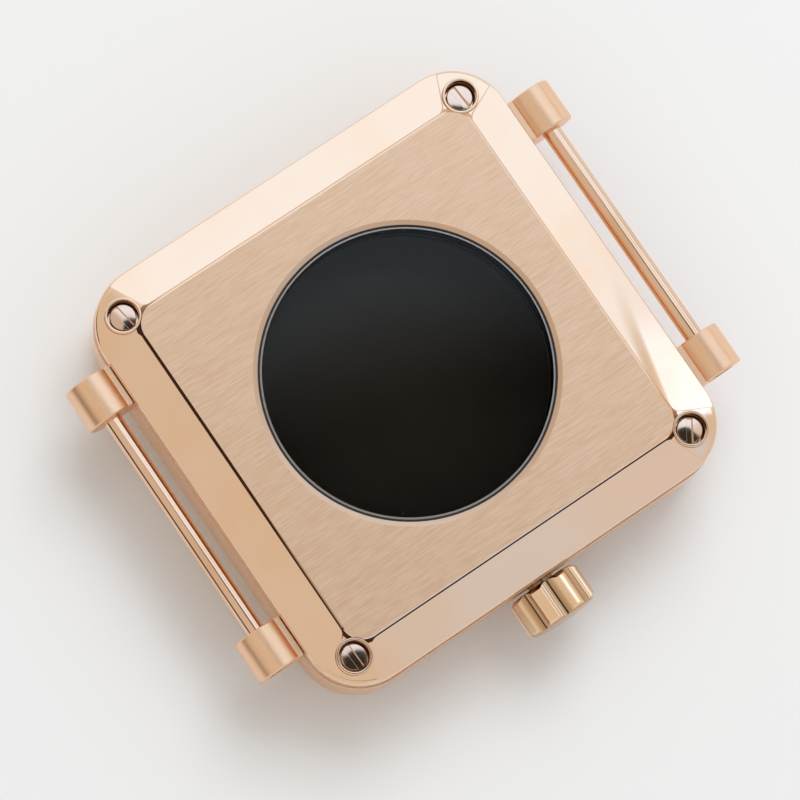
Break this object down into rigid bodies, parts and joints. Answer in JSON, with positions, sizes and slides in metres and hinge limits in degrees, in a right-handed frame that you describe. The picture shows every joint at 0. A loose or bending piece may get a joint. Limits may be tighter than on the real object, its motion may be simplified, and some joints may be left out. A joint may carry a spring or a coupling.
{
  "type": "watch case",
  "caption": "Empty square wristwatch case with a round crystal, corner-screwed faceted bezel, fluted crown, ears and screwed strap bars, and a display back.",
  "frame": {"origin": "centre of the back face, where the case rests", "axes": "+Z out of the front crystal, +X towards the crown at 3 o'clock, +Y towards the strap bar at 12 o'clock"},
  "size_m": [0.0465, 0.051, 0.0115],
  "materials": {
    "bezel_rose_gold": "rose gold plated steel, satin-brushed plateau and mirror-polished facets",
    "case_rose_gold": "rose gold plated steel, polished walls and satin ears",
    "polished_rose_gold": "rose gold plated steel, mirror polished",
    "crown_gold": "gold plated steel, mirror polished, slightly yellower than the case",
    "screw_steel": "polished steel with a faint warm tint",
    "crystal_glass": "clear polished mineral glass that reads dark over a dark ground",
    "seal_rubber": "matt black seal",
    "movement_ring_plastic": "matt black moulded spacer"
  },
  "bodies": {
    "case": {"front_bezel": "bezel_rose_gold", "mid_case": "case_rose_gold", "case_back": "case_rose_gold", "front_crystal": "crystal_glass", "back_crystal": "crystal_glass", "front_crystal_gasket": "seal_rubber", "bezel_gasket": "seal_rubber", "back_gasket": "seal_rubber", "back_crystal_gasket": "seal_rubber", "dial_ring": "case_rose_gold", "movement_ring": "movement_ring_plastic", "crown_tube": "polished_rose_gold", "screw_collar_ne": "polished_rose_gold", "screw_collar_se": "polished_rose_gold", "screw_collar_sw": "polished_rose_gold", "screw_collar_nw": "polished_rose_gold", "bezel_screw_ne": "screw_steel", "bezel_screw_se": "screw_steel", "bezel_screw_sw": "screw_steel", "bezel_screw_nw": "screw_steel", "case_back_screw_ne": "screw_steel", "case_back_screw_se": "screw_steel", "case_back_screw_sw": "screw_steel", "case_back_screw_nw": "screw_steel"},
    "crown_slide": {"crown_gasket": "seal_rubber"},
    "crown": {"crown": "crown_gold"},
    "strap_bar_12": {"strap_bar_12": "polished_rose_gold", "bar_screw_ne": "screw_steel", "bar_screw_nw": "screw_steel"},
    "strap_bar_6": {"strap_bar_6": "polished_rose_gold", "bar_screw_se": "screw_steel", "bar_screw_sw": "screw_steel"}
  },
  "joints": [
    {"name": "crown_pull", "type": "slide", "parent": "case", "child": "crown_slide", "axis": [1, 0, 0], "range_m": [0, 0.0015]},
    {"name": "crown_turn", "type": "hinge", "parent": "crown_slide", "child": "crown", "pos_m": [0.02145, 0, 0.006], "axis": [1, 0, 0], "continuous": true},
    {"name": "strap_bar_12_spin", "type": "hinge", "parent": "case", "child": "strap_bar_12", "pos_m": [0, 0.0233, 0.0085], "axis": [1, 0, 0], "continuous": true},
    {"name": "strap_bar_6_spin", "type": "hinge", "parent": "case", "child": "strap_bar_6", "pos_m": [0, -0.0233, 0.0085], "axis": [1, 0, 0], "continuous": true}
  ]
}
